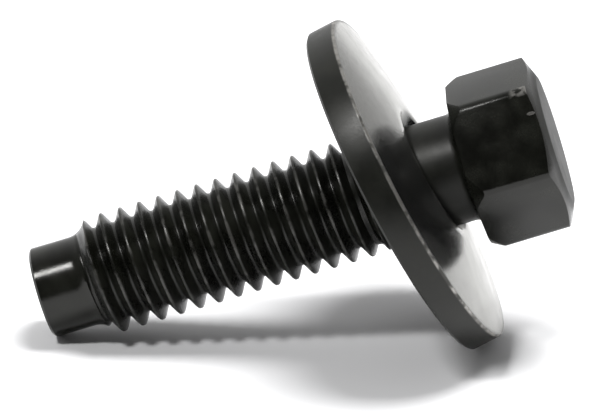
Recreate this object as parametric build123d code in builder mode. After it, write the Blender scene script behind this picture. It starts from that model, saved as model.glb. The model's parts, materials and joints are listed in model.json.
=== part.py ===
from build123d import *

import os
from math import acos, atan2, cos, hypot, radians, sin, tan

# Hexagon-head screw with a dog point and a loose captive washer, lying as it comes to rest.
#
# The screw lies on the edge of its dog point and on the rim of its washer. The washer was put on
# before the thread was rolled, so the thread holds it captive on the thinner neck, where it leans
# as far over as its hole lets it.

# Thread, coarse metric
thread_diameter = 6.0
thread_end = 17.7  # from the tip to where the neck begins

# Dog point
dog_diameter = 4.6
dog_length = 2.05
dog_flare = 1.05  # length of the hollow curve from the dog up to the thread
tip_chamfer = 0.12

# Shank and neck
shank_length = 22.3  # from the tip to the underside of the head
neck_diameter = 5.46
neck_slope = 30.0  # degrees, of the end of the thread down to the neck
head_fillet = 0.45

# Hexagon head
hex_across_flats = 7.8
head_height = 4.5
head_turn = 31.0  # degrees, of a corner from the top
crown_chamfer = 1.25  # taken off the corners at the top, square to the axis
crown_slope = 23.0  # degrees
bearing_chamfer = 0.45  # taken off the corners underneath, square to the axis
bearing_slope = 60.0  # degrees

# Washer
washer_diameter = 17.7
washer_thickness = 1.75
washer_hole = 5.93
rolled_edge = 0.45  # rounding left by the die, on the side of the head
sharp_edge = 0.12  # small break, on the side of the tip
hole_edge = 0.12

# Running gap between the washer and what it leans on
washer_gap = 0.03

os.makedirs("parts", exist_ok=True)

thread_radius = thread_diameter / 2
dog_radius = dog_diameter / 2
neck_radius = neck_diameter / 2
rim_radius = washer_diameter / 2

# The washer leans until its hole meets the neck at two opposite edges.
hole_land = washer_thickness - 2 * hole_edge
hole_reach = hypot(washer_hole, hole_land)
washer_lean = acos((neck_diameter + 2 * washer_gap) / hole_reach) - atan2(hole_land, washer_hole)

# Leaning, it slides down until the top of its hole meets the end of the thread.
hole_edge_offset = (washer_hole * sin(washer_lean) + hole_land * cos(washer_lean)) / 2
washer_place = thread_end + washer_gap + hole_edge_offset

# What touches the ground is the dog's chamfered edge and the washer's rim on the side of the tip.
rim_depth = washer_thickness / 2 - sharp_edge
rim_drop = rim_radius * cos(washer_lean) + rim_depth * sin(washer_lean)
rim_advance = rim_radius * sin(washer_lean) - rim_depth * cos(washer_lean)
bolt_rise = atan2(rim_drop - dog_radius, washer_place + rim_advance - tip_chamfer)
tip_height = dog_radius * cos(bolt_rise) - tip_chamfer * sin(bolt_rise)


def turning_plane(origin, rise):
    """A plane square to an axis that climbs at this angle, with its x on the upper side."""
    return Plane(origin=origin, x_dir=(-sin(rise), 0, cos(rise)), z_dir=(cos(rise), 0, sin(rise)))


def section_plane(square):
    """The upright plane through that axis: x is the radius, y runs along the axis."""
    return Plane(origin=square.origin, x_dir=square.x_dir, z_dir=-square.y_dir)


tip = turning_plane((0, 0, tip_height), bolt_rise)
shank_axis = Axis(tip.origin, tip.z_dir)
washer_middle = turning_plane(tip.offset(washer_place).origin, bolt_rise + washer_lean)
washer_axis = Axis(washer_middle.origin, washer_middle.z_dir)


with BuildPart() as bolt:
    # Head: a hexagon turned down to a cone at the top and, a little, underneath.
    with BuildSketch(tip.offset(shank_length).rotated((0, 0, head_turn))):
        RegularPolygon(hex_across_flats / 2, 6, major_radius=False)
    extrude(amount=head_height)
    with BuildSketch(section_plane(tip.offset(shank_length))):
        corner_radius = hex_across_flats / 2 / cos(radians(30))
        crown_drop = crown_chamfer * tan(radians(crown_slope))
        bearing_drop = bearing_chamfer * tan(radians(bearing_slope))
        with BuildLine():
            Polyline(
                (0, 0),
                (corner_radius - bearing_chamfer, 0),
                (corner_radius, bearing_drop),
                (corner_radius, head_height - crown_drop),
                (corner_radius - crown_chamfer, head_height),
                (0, head_height),
                close=True,
            )
        make_face()
    revolve(axis=shank_axis, mode=Mode.INTERSECT)
    # Shank: dog point, hollow curve, thread blank and neck.
    with BuildSketch(section_plane(tip)):
        with BuildLine():
            Polyline((0, shank_length), (0, 0), (dog_radius - tip_chamfer, 0), (dog_radius, tip_chamfer))
            Line((dog_radius, tip_chamfer), (dog_radius, dog_length))
            TangentArc((dog_radius, dog_length), (thread_radius, dog_length + dog_flare), tangent=(0, 1))
            neck_drop = (thread_radius - neck_radius) / tan(radians(neck_slope))
            Polyline(
                (thread_radius, dog_length + dog_flare),
                (thread_radius, thread_end - neck_drop),
                (neck_radius, thread_end),
                (neck_radius, shank_length - head_fillet),
            )
            fillet_end = (neck_radius + head_fillet, shank_length)
            TangentArc((neck_radius, shank_length - head_fillet), fillet_end, tangent=(0, 1))
            Line(fillet_end, (0, shank_length))
        make_face()
    revolve(axis=shank_axis)

with BuildPart() as washer:
    with BuildSketch(section_plane(washer_middle)) as washer_section:
        with Locations((washer_hole / 2, 0)):
            Rectangle(rim_radius - washer_hole / 2, washer_thickness, align=(Align.MIN, Align.CENTER))
        hole_corners, rim_corners = washer_section.vertices().group_by(Axis.X)
        chamfer(hole_corners, hole_edge)
        chamfer(rim_corners.sort_by(Axis.Y)[0], sharp_edge)
        fillet(rim_corners.sort_by(Axis.Y)[-1], rolled_edge)
    revolve(axis=washer_axis)

# The origin lies on the ground under the middle of the whole.
middle = Compound([bolt.part, washer.part]).bounding_box().center()
to_middle = Location((-middle.X, -middle.Y, 0))
bolt.part.move(to_middle)
washer.part.move(to_middle)

bolt.part.label = "bolt"
export_step(bolt.part, "parts/bolt.step")

washer.part.label = "washer"
export_step(washer.part, "parts/washer.step")
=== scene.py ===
import json
from math import cos, hypot, pi, radians, sin, sqrt, tan

import bpy
from mathutils import Matrix, Vector


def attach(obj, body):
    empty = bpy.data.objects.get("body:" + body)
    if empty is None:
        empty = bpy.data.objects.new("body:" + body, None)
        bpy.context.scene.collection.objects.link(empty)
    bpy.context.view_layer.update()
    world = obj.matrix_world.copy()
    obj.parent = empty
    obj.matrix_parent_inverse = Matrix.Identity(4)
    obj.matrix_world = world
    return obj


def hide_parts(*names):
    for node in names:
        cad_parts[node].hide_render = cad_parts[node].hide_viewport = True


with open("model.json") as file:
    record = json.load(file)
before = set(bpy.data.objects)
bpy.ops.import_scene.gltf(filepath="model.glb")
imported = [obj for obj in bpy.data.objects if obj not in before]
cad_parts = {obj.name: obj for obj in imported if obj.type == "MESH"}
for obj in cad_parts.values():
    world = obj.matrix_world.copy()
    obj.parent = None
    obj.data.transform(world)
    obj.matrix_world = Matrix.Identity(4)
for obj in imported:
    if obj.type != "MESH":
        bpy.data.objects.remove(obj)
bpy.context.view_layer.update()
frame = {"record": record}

# Hexagon-head screw with a dog point and a captive washer, in worn black phosphate.
#
# Each piece is shaped on the bench: in millimetres, standing on its axis, with x towards the upper
# side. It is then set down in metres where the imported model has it.

# Thread, coarse metric, rolled, right-hand
thread_radius = 3.0
thread_pitch = 1.0
root_radius = 2.387
root_rounding = 0.144
crest_rounding = 0.035
first_crest = 3.0  # from the tip, on the upper side
flank_angle = radians(30)
steps_a_turn = 96
thread_turns = 20  # more than the shank holds, and cut off at both ends

# Shank, from the tip
dog_radius = 2.3
dog_length = 2.05
dog_flare = 1.05
tip_chamfer = 0.12
thread_end = 17.7
run_out_length = 1.5
neck_radius = 2.73
neck_slope = radians(30)
neck_start = 17.85
shank_length = 22.3
head_fillet = 0.45

# Head
head_height = 4.5
across_flats = 7.8
head_turn = radians(31.0)
crown_chamfer = 1.25
crown_slope = radians(23)
bearing_chamfer = 0.45
bearing_slope = radians(60)
corner_edge = 0.28  # rounding between the flats
crown_edge = 0.07  # rounding between the flats and the cones
crown_steps = 120

# Washer
washer_radius = 8.85
washer_thickness = 1.75
hole_radius = 2.965
sharp_edge = 0.12
hole_edge = 0.12
rim_height = 1.60  # of the rim's edge on the side of the head, where the cone begins
rim_rounding = 0.07
cone_rise = 0.80  # of the dished face, from the rim up to the hole
cone_swell = 0.25  # how far the face is arched rather than straight
cone_mouth = 3.45  # radius at which the cone turns down into the hole
hollow = 0.45  # depth of the dish on the side of the tip
washer_steps = 192

hair = 0.0005  # vertices closer than this are one
smooth_angle = radians(32)  # flatter edges than this are shaded smooth

# Colours
worn_steel = (0.34, 0.33, 0.31)
burnished_coat = (0.135, 0.136, 0.134)
screw_coat = (0.0030, 0.0032, 0.0022), (0.0100, 0.0105, 0.0080)
washer_coat = (0.0040, 0.0044, 0.0030), (0.0085, 0.0090, 0.0065)


# ---------------------------------------------------------------- bench work

def deselect():
    bpy.ops.object.select_all(action="DESELECT")


def edit(piece):
    """Opens one piece in edit mode, with all of it selected."""
    bpy.context.view_layer.objects.active = piece
    piece.select_set(True)
    bpy.ops.object.mode_set(mode="EDIT")
    bpy.ops.mesh.select_all(action="SELECT")


def leave_edit():
    bpy.ops.object.mode_set(mode="OBJECT")


def draw_outline(name, points):
    """An outline drawn point by point in the XZ plane: x is the radius, z runs along the axis."""
    deselect()
    bpy.ops.mesh.primitive_plane_add(size=1, location=(0, 0, 0))
    piece = bpy.context.object
    piece.name = piece.data.name = name
    edit(piece)
    bpy.ops.mesh.merge(type="CENTER")
    here = (0, 0)
    for number, there in enumerate(points):
        step = (there[0] - here[0], 0, there[1] - here[1])
        if number == 0:
            bpy.ops.transform.translate(value=step)
        else:
            bpy.ops.mesh.extrude_vertices_move(TRANSFORM_OT_translate={"value": step})
        here = there
    leave_edit()
    return piece


def merge_and_turn_out(piece):
    """Seams and poles closed, faces outwards."""
    edit(piece)
    bpy.ops.mesh.remove_doubles(threshold=hair)
    bpy.ops.mesh.normals_make_consistent(inside=False)
    leave_edit()


def spin_outline(piece, steps):
    """The outline turned once round the axis."""
    edit(piece)
    bpy.ops.mesh.spin(steps=steps, angle=2 * pi, center=(0, 0, 0), axis=(0, 0, 1))
    leave_edit()
    merge_and_turn_out(piece)


def apply_modifier(piece, modifier):
    bpy.context.view_layer.objects.active = piece
    bpy.ops.object.modifier_apply(modifier=modifier.name)


def combine(piece, tool, operation):
    """A boolean with a tool piece, which is used up."""
    modifier = piece.modifiers.new(operation.lower(), "BOOLEAN")
    modifier.operation = operation
    modifier.solver = "EXACT"
    modifier.object = tool
    apply_modifier(piece, modifier)
    bpy.data.objects.remove(tool, do_unlink=True)


def soften_edges(piece, width, angle, segments=2):
    modifier = piece.modifiers.new("soft edges", "BEVEL")
    modifier.width = width
    modifier.segments = segments
    modifier.limit_method = "ANGLE"
    modifier.angle_limit = angle
    modifier.harden_normals = False
    apply_modifier(piece, modifier)


def shade(piece, angle):
    deselect()
    piece.select_set(True)
    bpy.context.view_layer.objects.active = piece
    bpy.ops.object.shade_smooth_by_angle(angle=angle)


def bench_to_place(origin, axis):
    """From the bench, in millimetres, to the model's place, in metres."""
    along = Vector(axis).normalized()
    upper = Vector((-along.z, 0, along.x)).normalized()
    across = along.cross(upper)
    turn = Matrix((upper, across, along)).transposed().to_4x4()
    return Matrix.Translation(origin) @ turn @ Matrix.Scale(0.001, 4)


def set_down(piece, place):
    deselect()
    piece.select_set(True)
    bpy.context.view_layer.objects.active = piece
    piece.matrix_world = place
    bpy.ops.object.transform_apply(location=True, rotation=True, scale=True)


# ---------------------------------------------------------------- places

def mount(name):
    return next(m for m in frame["record"]["mounts"] if m["name"] == name)


head_top = Vector(mount("head_top")["pos_m"])
bolt_axis = Vector(mount("head_top")["axis"])
tip = head_top - bolt_axis * (shank_length + head_height) * 0.001
bolt_place = bench_to_place(tip, bolt_axis)

spin_joint = frame["record"]["behaviour"]["joints"][0]
washer_place = bench_to_place(Vector(spin_joint["pos_m"]), Vector(spin_joint["axis"]))


# ---------------------------------------------------------------- screw

def thread_outline():
    """One pitch of the rolled thread, from the middle of a valley to the middle of the next."""
    half = []
    for number in range(4):
        angle = number * (pi / 2 - flank_angle) / 3
        half.append((root_radius + root_rounding * (1 - cos(angle)), root_rounding * sin(angle)))
    foot_radius, foot = half[-1]
    crest_corner = foot + (thread_radius - foot_radius) * tan(flank_angle)
    for share in (0.3, 0.6, 0.85):
        radius = foot_radius + (thread_radius - foot_radius) * share
        half.append((radius, foot + (radius - foot_radius) * tan(flank_angle)))
    half.append((thread_radius - crest_rounding, crest_corner - crest_rounding * 0.3))
    half.append((thread_radius - crest_rounding * 0.25, crest_corner + crest_rounding * 0.3))
    half.append((thread_radius, thread_pitch / 2))
    other_half = [(radius, thread_pitch - along) for radius, along in reversed(half[:-1])]
    start = first_crest - thread_pitch * 4.5
    return [(radius, along + start) for radius, along in half + other_half]


def largest_radius(along):
    """Dog, hollow flare, thread, the slope down from it, and neck."""
    if along < dog_length:
        return dog_radius
    flare_rise = thread_radius - dog_radius
    if along < dog_length + dog_flare:
        flare_radius = (flare_rise ** 2 + dog_flare ** 2) / (2 * flare_rise)
        return dog_radius + flare_radius - sqrt(flare_radius ** 2 - (along - dog_length) ** 2)
    slope_start = thread_end - (thread_radius - neck_radius) / tan(neck_slope)
    if along < slope_start:
        return thread_radius
    return max(neck_radius, thread_radius - (along - slope_start) * tan(neck_slope))


def smallest_radius(along):
    """The grooves run out towards the neck."""
    share = (along - thread_end + run_out_length) / (run_out_length - 0.1)
    share = min(max(share, 0), 1)
    return root_radius + (neck_radius - root_radius) * share ** 1.5


def trim_thread(piece):
    """Brings the screwed surface within the blank that it was rolled on."""
    for vertex in piece.data.vertices:
        radius = hypot(vertex.co.x, vertex.co.y)
        wanted = min(max(radius, smallest_radius(vertex.co.z)), largest_radius(vertex.co.z))
        vertex.co.x *= wanted / radius
        vertex.co.y *= wanted / radius


def shape_shank():
    piece = draw_outline("screw", thread_outline())
    turns = piece.modifiers.new("turns", "SCREW")
    turns.axis = "Z"
    turns.angle = 2 * pi
    turns.screw_offset = thread_pitch
    turns.iterations = thread_turns
    turns.steps = turns.render_steps = steps_a_turn
    turns.use_merge_vertices = False
    apply_modifier(piece, turns)
    merge_and_turn_out(piece)
    trim_thread(piece)
    # Dog point's chamfered end.
    edit(piece)
    bpy.ops.mesh.bisect(
        plane_co=(0, 0, tip_chamfer), plane_no=(0, 0, 1), use_fill=True, clear_inner=True, clear_outer=False)
    end_scale = 1 - tip_chamfer / dog_radius
    bpy.ops.mesh.extrude_region_move(TRANSFORM_OT_translate={"value": (0, 0, -tip_chamfer)})
    bpy.ops.transform.resize(value=(end_scale, end_scale, 1), center_override=(0, 0, 0))
    # Neck, and the fillet that carries it into the head.
    bpy.ops.mesh.select_all(action="SELECT")
    bpy.ops.mesh.bisect(
        plane_co=(0, 0, neck_start), plane_no=(0, 0, 1), use_fill=True, clear_inner=False, clear_outer=True)
    fillet_start = shank_length - head_fillet
    rise = fillet_start - neck_start
    bpy.ops.mesh.extrude_region_move(TRANSFORM_OT_translate={"value": (0, 0, rise)})
    here, radius = fillet_start, neck_radius
    for number in range(1, 7):
        angle = number * pi / 12
        there = fillet_start + head_fillet * sin(angle)
        wider = neck_radius + head_fillet * (1 - cos(angle))
        bpy.ops.mesh.extrude_region_move(TRANSFORM_OT_translate={"value": (0, 0, there - here)})
        scale = wider / radius
        bpy.ops.transform.resize(value=(scale, scale, 1), center_override=(0, 0, 0))
        here, radius = there, wider
    bpy.ops.mesh.extrude_region_move(TRANSFORM_OT_translate={"value": (0, 0, head_fillet)})
    bpy.ops.mesh.select_all(action="SELECT")
    bpy.ops.mesh.normals_make_consistent(inside=False)
    leave_edit()
    return piece


def shape_head():
    """A hexagon turned down to a cone at the top and, a little, underneath."""
    deselect()
    corner_radius = across_flats / 2 / cos(pi / 6)
    bpy.ops.mesh.primitive_cylinder_add(
        vertices=6, radius=corner_radius, depth=head_height + 2,
        location=(0, 0, shank_length + head_height / 2), rotation=(0, 0, head_turn - pi / 6))
    piece = bpy.context.object
    piece.name = piece.data.name = "head"
    bpy.ops.object.transform_apply(location=True, rotation=True, scale=True)
    soften_edges(piece, corner_edge, radians(30), 5)
    crown_drop = crown_chamfer * tan(crown_slope)
    bearing_drop = bearing_chamfer * tan(bearing_slope)
    past = 0.4  # how far the turned body stands out past the corners
    top = shank_length + head_height
    turned = draw_outline("turned", [
        (0, shank_length),
        (corner_radius - bearing_chamfer, shank_length),
        (corner_radius + past, shank_length + bearing_drop + past * tan(bearing_slope)),
        (corner_radius + past, top - crown_drop - past * tan(crown_slope)),
        (corner_radius - crown_chamfer, top),
        (0, top),
    ])
    spin_outline(turned, crown_steps)
    combine(piece, turned, "INTERSECT")
    merge_and_turn_out(piece)
    soften_edges(piece, crown_edge, radians(15), 2)
    return piece


def shape_screw():
    piece = shape_shank()
    combine(piece, shape_head(), "UNION")
    set_down(piece, bolt_place)
    shade(piece, smooth_angle)
    return piece


# ---------------------------------------------------------------- washer

def shape_washer():
    """Dished like a spring washer, hollow on the side of the tip, its hole rounded on the other."""
    low, high = -washer_thickness / 2, washer_thickness / 2
    rim_edge = low + rim_height
    cone_foot = washer_radius - rim_rounding
    outline = [
        (hole_radius, low + hollow + hole_edge),
        (hole_radius + hole_edge, low + hollow),
        (washer_radius - sharp_edge, low),
        (washer_radius, low + sharp_edge),
        (washer_radius, rim_edge - 2 * rim_rounding),
        (washer_radius - 0.02, rim_edge - rim_rounding),
        (cone_foot, rim_edge),
    ]
    for number in range(1, 13):
        share = number / 12
        outline.append((
            cone_foot - (cone_foot - cone_mouth) * share,
            rim_edge + cone_rise * (share + cone_swell * share * (1 - share)),
        ))
    # The mouth rounds down into the hole, clear of the leaning neck.
    cone_top = rim_edge + cone_rise
    outline += [
        (cone_mouth - 0.10, cone_top - 0.03),
        (cone_mouth - 0.19, cone_top - 0.11),
        (cone_mouth - 0.33, cone_top - 0.37),
        (hole_radius + 0.055, high + 0.10),
        (hole_radius, high - hole_edge),
        (hole_radius, low + hollow + hole_edge),
    ]
    piece = draw_outline("captive_washer", outline)
    spin_outline(piece, washer_steps)
    set_down(piece, washer_place)
    shade(piece, smooth_angle)
    return piece


# ---------------------------------------------------------------- finishes

def new_material(name):
    material = bpy.data.materials.new(name)
    material.use_nodes = True
    nodes, links = material.node_tree.nodes, material.node_tree.links
    nodes.clear()
    shader = nodes.new("ShaderNodeBsdfPrincipled")
    output = nodes.new("ShaderNodeOutputMaterial")
    links.new(shader.outputs[0], output.inputs["Surface"])
    return material, nodes, links, shader


def math_node(nodes, links, operation, *values, clamp=False):
    node = nodes.new("ShaderNodeMath")
    node.operation = operation
    node.use_clamp = clamp
    for socket, value in zip(node.inputs, values):
        if isinstance(value, bpy.types.NodeSocket):
            links.new(value, socket)
        else:
            socket.default_value = value
    return node.outputs[0]


def ramp(nodes, links, value, low, high, to_low=0.0, to_high=1.0):
    """A smooth change from one level to another as the value passes from low to high."""
    node = nodes.new("ShaderNodeMapRange")
    node.interpolation_type = "SMOOTHSTEP"
    links.new(value, node.inputs["Value"])
    for socket, level in zip(("From Min", "From Max", "To Min", "To Max"), (low, high, to_low, to_high)):
        node.inputs[socket].default_value = level
    return node.outputs["Result"]


def noise(nodes, links, vector, scale, detail=3.0, roughness=0.55):
    node = nodes.new("ShaderNodeTexNoise")
    node.inputs["Scale"].default_value = scale
    node.inputs["Detail"].default_value = detail
    node.inputs["Roughness"].default_value = roughness
    links.new(vector, node.inputs["Vector"])
    return node.outputs["Fac"]


def blend_colour(nodes, links, factor, first, second):
    node = nodes.new("ShaderNodeMix")
    node.data_type = "RGBA"
    links.new(factor, node.inputs["Factor"])
    for socket, colour in ((node.inputs["A"], first), (node.inputs["B"], second)):
        if isinstance(colour, bpy.types.NodeSocket):
            links.new(colour, socket)
        else:
            socket.default_value = (*colour, 1)
    return node.outputs["Result"]


def bench_coordinates(nodes, links, place):
    """The piece's own coordinates as on the bench: position, distance from the axis, height along it."""
    where = nodes.new("ShaderNodeTexCoord").outputs["Object"]
    back = nodes.new("ShaderNodeMapping")
    back.vector_type = "TEXTURE"
    back.inputs["Location"].default_value = place.to_translation()
    back.inputs["Rotation"].default_value = place.to_euler()
    back.inputs["Scale"].default_value = place.to_scale()
    links.new(where, back.inputs["Vector"])
    position = back.outputs["Vector"]
    parts = nodes.new("ShaderNodeSeparateXYZ")
    links.new(position, parts.inputs[0])
    x, y, along = parts.outputs
    squares = math_node(nodes, links, "ADD", math_node(nodes, links, "MULTIPLY", x, x),
                        math_node(nodes, links, "MULTIPLY", y, y))
    return position, math_node(nodes, links, "SQRT", squares), along


def phosphate(name, place, coats, dullness, wear, burnish=None):
    """Black phosphate, oiled: mottled, crystalline, and worn to steel in places.

    coats are its darkest and its lightest colour. dullness, wear and burnish each take (nodes, links,
    position, radius, along) and give, from 0 to 1, how rough the coat is, how far it is worn to steel
    and how far it is pressed smooth.
    """
    material, nodes, links, shader = new_material(name)
    position, radius, along = bench_coordinates(nodes, links, place)
    clouds = noise(nodes, links, position, 0.7, 6.0)
    coat = blend_colour(nodes, links, ramp(nodes, links, clouds, 0.35, 0.68), *coats)
    crystals = noise(nodes, links, position, 14.0, 4.0, 0.6)
    rubbed = wear(nodes, links, position, radius, along)
    bare = math_node(nodes, links, "MULTIPLY", rubbed, 0.9)
    if burnish:
        smooth = burnish(nodes, links, position, radius, along)
        coat = blend_colour(nodes, links, smooth, coat, burnished_coat)
        bare = math_node(nodes, links, "MAXIMUM", bare, smooth)
    links.new(blend_colour(nodes, links, rubbed, coat, worn_steel), shader.inputs["Base Color"])
    links.new(bare, shader.inputs["Metallic"])
    unevenness = ramp(nodes, links, clouds, 0.3, 0.7, -0.04, 0.05)
    sparkle = ramp(nodes, links, crystals, 0.3, 0.7, -0.02, 0.04)
    even = dullness(nodes, links, position, radius, along)
    links.new(math_node(nodes, links, "ADD", even, math_node(nodes, links, "ADD", unevenness, sparkle)),
              shader.inputs["Roughness"])
    bump = nodes.new("ShaderNodeBump")
    bump.inputs["Strength"].default_value = 0.35
    bump.inputs["Distance"].default_value = 0.000012
    links.new(crystals, bump.inputs["Height"])
    links.new(bump.outputs["Normal"], shader.inputs["Normal"])
    shader.inputs["IOR"].default_value = 1.5
    shader.inputs["Specular IOR Level"].default_value = 0.36
    shader.inputs["Specular Tint"].default_value = (1.0, 0.995, 0.97, 1)
    return material


def on_flat(off_middle, below_top, depth=0.0):
    """A place on the head's front flat: off its middle, below the head's top, and under the flat."""
    outwards = head_turn + pi / 6
    reach = across_flats / 2 - depth
    return (reach * cos(outwards) + off_middle * sin(outwards),
            reach * sin(outwards) - off_middle * cos(outwards),
            shank_length + head_height - below_top)


# Worn places on the head
worn_corner = on_flat(2.0, 0.75, depth=0.07)
scratch_start = on_flat(0.94, 0.72)
scratch_end = on_flat(0.92, 0.35)


def distance_from(nodes, links, position, point):
    node = nodes.new("ShaderNodeVectorMath")
    node.operation = "DISTANCE"
    links.new(position, node.inputs[0])
    node.inputs[1].default_value = point
    return node.outputs["Value"]


def screw_wear(nodes, links, position, radius, along):
    """The thread's crests and one corner of the crown rubbed through, and a short scratch by it."""
    crest = ramp(nodes, links, radius, thread_radius - 0.1, thread_radius)
    on_thread = ramp(nodes, links, along, thread_end - 0.2, thread_end, 1.0, 0.0)
    patches = ramp(nodes, links, noise(nodes, links, position, 1.3, 4.0), 0.45, 0.62)
    crests = math_node(nodes, links, "MULTIPLY", math_node(nodes, links, "MULTIPLY", crest, on_thread),
                       math_node(nodes, links, "MULTIPLY", patches, 0.15))
    corner = ramp(nodes, links, distance_from(nodes, links, position, worn_corner), 0.30, 0.70, 0.55, 0.0)
    corner = math_node(nodes, links, "MULTIPLY", corner, ramp(nodes, links, radius, 4.32, 4.40))
    corner = math_node(nodes, links, "MULTIPLY", corner,
                       ramp(nodes, links, noise(nodes, links, position, 3.0, 4.0), 0.38, 0.56))
    both_ends = math_node(nodes, links, "ADD", distance_from(nodes, links, position, scratch_start),
                          distance_from(nodes, links, position, scratch_end))
    long = (Vector(scratch_end) - Vector(scratch_start)).length
    scratch = ramp(nodes, links, both_ends, long + 0.01, long + 0.05, 0.9, 0.0)
    return math_node(nodes, links, "MAXIMUM", crests, math_node(nodes, links, "MAXIMUM", corner, scratch))


def washer_wear(nodes, links, position, radius, along):
    """A bright line along the rim's edge, broken up into specks."""
    edge = rim_height - washer_thickness / 2
    below = ramp(nodes, links, along, edge - 0.18, edge - 0.08)
    above = ramp(nodes, links, along, edge + 0.01, edge + 0.05, 1.0, 0.0)
    outside = ramp(nodes, links, radius, washer_radius - 0.12, washer_radius - 0.04)
    line = math_node(nodes, links, "MULTIPLY", math_node(nodes, links, "MULTIPLY", below, above), outside)
    patches = ramp(nodes, links, noise(nodes, links, position, 1.6, 5.0), 0.38, 0.62, 0.15, 1.0)
    return math_node(nodes, links, "MULTIPLY", line, patches)


def washer_burnish(nodes, links, position, radius, along):
    """The dished face, where the head has turned on it."""
    inside = ramp(nodes, links, radius, washer_radius - 0.12, washer_radius - 0.03, 1.0, 0.0)
    return math_node(nodes, links, "MULTIPLY", inside, ramp(nodes, links, along, 0.2, 0.6, 0.0, 0.95))


def screw_dullness(nodes, links, position, radius, along):
    """The dog and the head's flats are smoother than the thread, the neck and the head's end."""
    thread = ramp(nodes, links, along, dog_length, dog_length + dog_flare, 0.15, 0.28)
    neck = ramp(nodes, links, along, thread_end - 0.5, thread_end, 0.0, 0.10)
    head = ramp(nodes, links, along, shank_length - 0.6, shank_length, 0.0, -0.17)
    top = shank_length + head_height
    end = ramp(nodes, links, along, top - 0.3, top - 0.05, 0.0, 0.30)
    return math_node(nodes, links, "ADD", math_node(nodes, links, "ADD", thread, neck),
                     math_node(nodes, links, "ADD", head, end))


def washer_dullness(nodes, links, position, radius, along):
    """The flat faces are smooth, the sheared rim is dull."""
    return ramp(nodes, links, radius, washer_radius - 0.3, washer_radius - 0.05, 0.14, 0.36)


def screw_finish():
    return phosphate("screw_phosphate", bolt_place, screw_coat, screw_dullness, screw_wear)


def washer_finish():
    return phosphate("washer_phosphate", washer_place, washer_coat, washer_dullness, washer_wear,
                     washer_burnish)


# ---------------------------------------------------------------- stage

def seen_directly_or_mirrored(nodes, links):
    """1 for what the camera sees itself, in a mirror or through glass, and 0 for light on surfaces."""
    path = nodes.new("ShaderNodeLightPath")
    rays = [path.outputs[f"Is {kind} Ray"] for kind in ("Camera", "Glossy", "Transmission")]
    both = math_node(nodes, links, "MAXIMUM", rays[0], rays[1])
    return math_node(nodes, links, "MAXIMUM", both, rays[2])


def floor_paper():
    """White paper that stays white to the camera and keeps the shadow."""
    material, nodes, links, shader = new_material("floor_paper")
    grain = noise(nodes, links, nodes.new("ShaderNodeTexCoord").outputs["Object"], 900.0)
    paper = blend_colour(nodes, links, grain, (0.80, 0.80, 0.81), (0.82, 0.82, 0.83))
    white = blend_colour(nodes, links, seen_directly_or_mirrored(nodes, links), paper, (0.97, 0.97, 0.98))
    links.new(white, shader.inputs["Base Color"])
    shader.inputs["Roughness"].default_value = 0.9
    shader.inputs["Specular IOR Level"].default_value = 0.05
    return material


def lay_floor():
    deselect()
    bpy.ops.mesh.primitive_plane_add(size=3, location=(0, 0, 0))
    floor = bpy.context.object
    floor.name = floor.data.name = "floor"
    floor.data.materials.append(floor_paper())


# Strength of the room's light, before and behind the screw
front_light = 0.07
back_light = 0.86


def light_world():
    """A pale room, darker on the side that the camera looks from."""
    world = bpy.data.worlds.new("studio")
    world.use_nodes = True
    bpy.context.scene.world = world
    nodes, links = world.node_tree.nodes, world.node_tree.links
    background = nodes["Background"]
    background.inputs["Color"].default_value = (1, 1, 1, 1)
    parts = nodes.new("ShaderNodeSeparateXYZ")
    links.new(nodes.new("ShaderNodeTexCoord").outputs["Generated"], parts.inputs[0])
    room = ramp(nodes, links, parts.outputs["Y"], -0.5, 0.9, front_light, back_light)
    path = nodes.new("ShaderNodeLightPath")
    links.new(math_node(nodes, links, "MAXIMUM", room, path.outputs["Is Camera Ray"]),
              background.inputs["Strength"])


def add_softbox(name, location, size, power, mirrored=True):
    bpy.ops.object.light_add(type="AREA", location=location)
    lamp = bpy.context.object
    lamp.name = lamp.data.name = name
    lamp.data.shape = "DISK"
    lamp.data.size = size
    lamp.data.energy = power
    towards = lamp.location - Vector((0, 0, 0.008))
    lamp.rotation_euler = towards.to_track_quat("Z", "Y").to_euler()
    lamp.visible_glossy = mirrored


def light_studio():
    light_world()
    add_softbox("overhead_softbox", (0.08, 0.07, 0.42), 0.22, 2.0, mirrored=False)
    add_softbox("front_softbox", (-0.17, -0.17, 0.38), 0.068, 0.80)


# Camera, nearly level along the screw, looking down on it a little
camera_azimuth = radians(-0.58)
camera_elevation = radians(20.28)
camera_roll = radians(0.55)
camera_distance = 0.486
camera_lens = 586
camera_aim = Vector((-0.00008, 0, 0.00668))


def set_camera():
    direction = Vector((
        sin(camera_azimuth) * cos(camera_elevation),
        -cos(camera_azimuth) * cos(camera_elevation),
        sin(camera_elevation),
    ))
    bpy.ops.object.camera_add(location=camera_aim + direction * camera_distance)
    camera = bpy.context.object
    turn = direction.to_track_quat("Z", "Y").to_matrix() @ Matrix.Rotation(camera_roll, 3, "Z")
    camera.rotation_euler = turn.to_euler()
    camera.data.lens = camera_lens
    camera.data.sensor_width = 36
    camera.data.clip_start = 0.01
    bpy.context.scene.camera = camera


screw = shape_screw()
screw.data.materials.append(screw_finish())
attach(screw, "bolt")
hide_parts("bolt")

washer = shape_washer()
washer.data.materials.append(washer_finish())
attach(washer, "washer")
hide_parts("washer")

lay_floor()
light_studio()
set_camera()
bpy.context.scene.view_settings.view_transform = "Standard"
